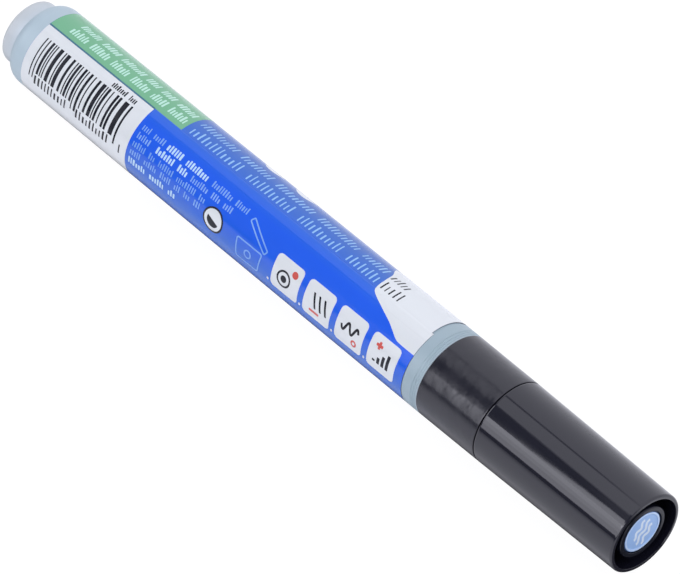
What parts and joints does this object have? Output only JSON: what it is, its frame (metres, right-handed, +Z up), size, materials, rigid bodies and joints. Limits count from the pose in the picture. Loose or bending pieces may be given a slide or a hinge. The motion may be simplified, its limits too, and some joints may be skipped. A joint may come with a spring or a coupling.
{
  "type": "masking fluid pen",
  "caption": "Capped valve-action masking fluid pen: slim barrel with wrap label and tail plug, dark collar, sprung fine tip and valve, mixing ball, pull-off cap with inner cap and end disc.",
  "frame": {"origin": "on the surface that the pen lies on, under the middle of its length", "axes": "+X along the pen towards the cap, +Z up"},
  "size_m": [0.1422, 0.015, 0.015],
  "materials": {
    "barrel_plastic": "satin moulded plastic, grey-blue",
    "label_film": "glossy printed film, blue with white and green panels",
    "collar_plastic": "satin black moulded plastic",
    "cap_plastic": "high-gloss black moulded plastic",
    "disc_plastic": "light blue moulded plastic",
    "white_plastic": "natural white moulded plastic",
    "core_plastic": "extruded white plastic",
    "steel": "bright drawn steel",
    "ball_steel": "polished steel",
    "seal_rubber": "soft black rubber"
  },
  "bodies": {
    "barrel": {"barrel": "barrel_plastic", "tail_plug": "barrel_plastic", "label": "label_film", "front_collar": "collar_plastic", "nose_cone": "collar_plastic", "valve_housing": "white_plastic", "valve_seal": "seal_rubber", "spring_retainer": "white_plastic", "valve_spring": "steel"},
    "cap": {"cap_shell": "cap_plastic", "inner_cap": "cap_plastic", "cap_disc": "disc_plastic"},
    "tip": {"tip_holder": "white_plastic", "tip_ferrule": "steel", "tip_core": "core_plastic"},
    "valve": {"valve_rod": "white_plastic"},
    "ball": {"mixing_ball": "ball_steel"}
  },
  "joints": [
    {"name": "cap_pull", "type": "slide", "parent": "barrel", "child": "cap", "axis": [1, 0, 0], "range_m": [0, 0.035]},
    {"name": "tip_press", "type": "slide", "parent": "barrel", "child": "tip", "axis": [-1, 0, 0], "range_m": [0, 0.0015], "stiffness_N_per_m": 400, "springref_m": -0.002},
    {"name": "valve_open", "type": "slide", "parent": "barrel", "child": "valve", "axis": [-1, 0, 0], "range_m": [0, 0.0015], "deforming": ["valve_spring"]},
    {"name": "ball_roll", "type": "slide", "parent": "barrel", "child": "ball", "axis": [1, 0, -0.0032], "range_m": [-0.0349, 0.0361]}
  ],
  "couplings": [
    {"joint": "valve_open", "follows": "tip_press", "ratio": 1}
  ]
}
